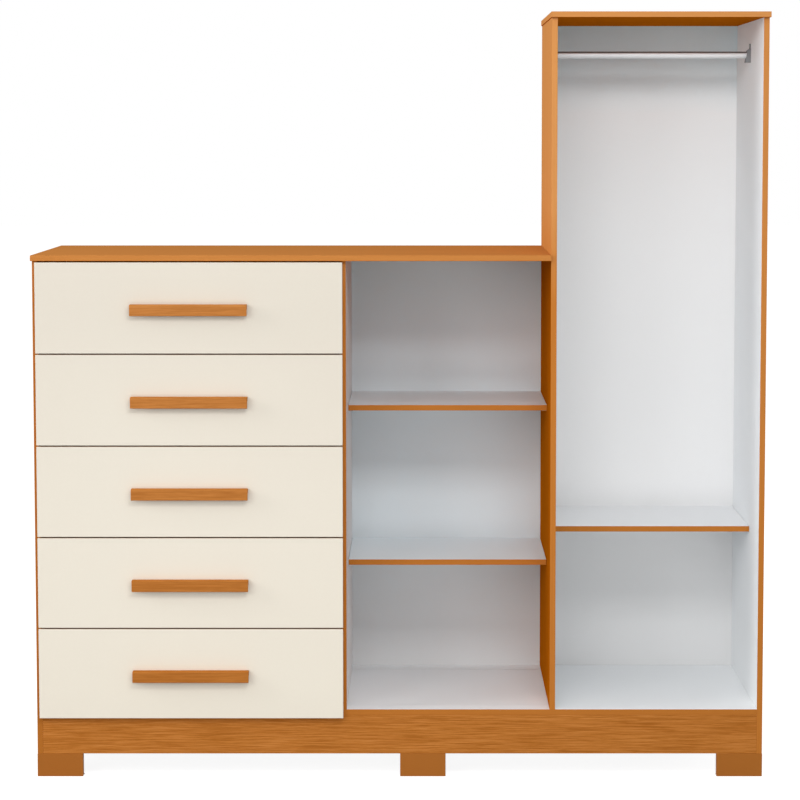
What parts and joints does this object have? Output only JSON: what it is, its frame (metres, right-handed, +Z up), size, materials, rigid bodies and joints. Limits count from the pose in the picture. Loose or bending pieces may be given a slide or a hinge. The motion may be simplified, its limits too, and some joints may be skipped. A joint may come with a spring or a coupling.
{
  "type": "chest of drawers with shelf niche and hanging bay",
  "caption": "Free-standing bedroom unit: a chest of sliding drawers, an open shelf niche and a tall open hanging bay with a rail, on a plinth with block feet.",
  "frame": {"origin": "on the floor, under the middle of the whole unit's box", "axes": "+X to the right of a person who faces the unit, +Y from that person to the wall, +Z up"},
  "size_m": [1.564, 0.474, 1.6375],
  "materials": {
    "two_tone_board": "12 mm particle board, orange-brown wood-grain foil outside and on the edges, white foil inside",
    "wood_grain_board": "12 mm particle board with orange-brown wood-grain foil, satin",
    "white_shelf_board": "12 mm particle board, white foil with an orange-brown front edge, satin",
    "back_sheet": "3 mm fibreboard, white lacquer on the inner face, bare brown behind",
    "cream_front": "12 mm fibreboard, smooth cream lacquer, semi-gloss",
    "handle_wood": "moulded fibreboard with orange-brown wood-grain foil",
    "drawer_board": "12 mm particle board with white foil",
    "foot_plastic": "moulded plastic, plain orange-brown",
    "runner_plastic": "white moulded plastic",
    "rail_steel": "thin steel tube and zinc cups with a satin plating",
    "fixing_steel": "zinc-plated steel"
  },
  "bodies": {
    "carcass": {"back_nails": "fixing_steel", "base_panel": "white_shelf_board", "cam_fittings": "fixing_steel", "chest_top": "wood_grain_board", "corner_feet": "foot_plastic", "drawer_bay_back": "back_sheet", "drawer_divider": "two_tone_board", "drawer_runners": "runner_plastic", "front_plinth": "wood_grain_board", "hanging_bay_back": "back_sheet", "hanging_bay_shelf": "white_shelf_board", "hanging_rail": "rail_steel", "left_side_panel": "two_tone_board", "lower_niche_shelf": "white_shelf_board", "middle_feet": "foot_plastic", "niche_back": "back_sheet", "panel_screws": "fixing_steel", "rail_brackets": "rail_steel", "rear_plinth": "wood_grain_board", "shelf_pins": "fixing_steel", "small_screws": "fixing_steel", "tall_left_panel": "two_tone_board", "tall_right_panel": "two_tone_board", "tall_top": "wood_grain_board", "upper_niche_shelf": "white_shelf_board"},
    "drawer_1": {"drawer_1_back": "drawer_board", "drawer_1_bottom": "back_sheet", "drawer_1_fittings": "fixing_steel", "drawer_1_front": "cream_front", "drawer_1_handle": "handle_wood", "drawer_1_left_side": "drawer_board", "drawer_1_right_side": "drawer_board"},
    "drawer_2": {"drawer_2_back": "drawer_board", "drawer_2_bottom": "back_sheet", "drawer_2_fittings": "fixing_steel", "drawer_2_front": "cream_front", "drawer_2_handle": "handle_wood", "drawer_2_left_side": "drawer_board", "drawer_2_right_side": "drawer_board"},
    "drawer_3": {"drawer_3_back": "drawer_board", "drawer_3_bottom": "back_sheet", "drawer_3_fittings": "fixing_steel", "drawer_3_front": "cream_front", "drawer_3_handle": "handle_wood", "drawer_3_left_side": "drawer_board", "drawer_3_right_side": "drawer_board"},
    "drawer_4": {"drawer_4_back": "drawer_board", "drawer_4_bottom": "back_sheet", "drawer_4_fittings": "fixing_steel", "drawer_4_front": "cream_front", "drawer_4_handle": "handle_wood", "drawer_4_left_side": "drawer_board", "drawer_4_right_side": "drawer_board"},
    "drawer_5": {"drawer_5_back": "drawer_board", "drawer_5_bottom": "back_sheet", "drawer_5_fittings": "fixing_steel", "drawer_5_front": "cream_front", "drawer_5_handle": "handle_wood", "drawer_5_left_side": "drawer_board", "drawer_5_right_side": "drawer_board"}
  },
  "joints": [
    {"name": "drawer_1_slide", "type": "slide", "parent": "carcass", "child": "drawer_1", "axis": [0, -1, 0], "range_m": [0, 0.3]},
    {"name": "drawer_2_slide", "type": "slide", "parent": "carcass", "child": "drawer_2", "axis": [0, -1, 0], "range_m": [0, 0.3]},
    {"name": "drawer_3_slide", "type": "slide", "parent": "carcass", "child": "drawer_3", "axis": [0, -1, 0], "range_m": [0, 0.3]},
    {"name": "drawer_4_slide", "type": "slide", "parent": "carcass", "child": "drawer_4", "axis": [0, -1, 0], "range_m": [0, 0.3]},
    {"name": "drawer_5_slide", "type": "slide", "parent": "carcass", "child": "drawer_5", "axis": [0, -1, 0], "range_m": [0, 0.3]}
  ]
}
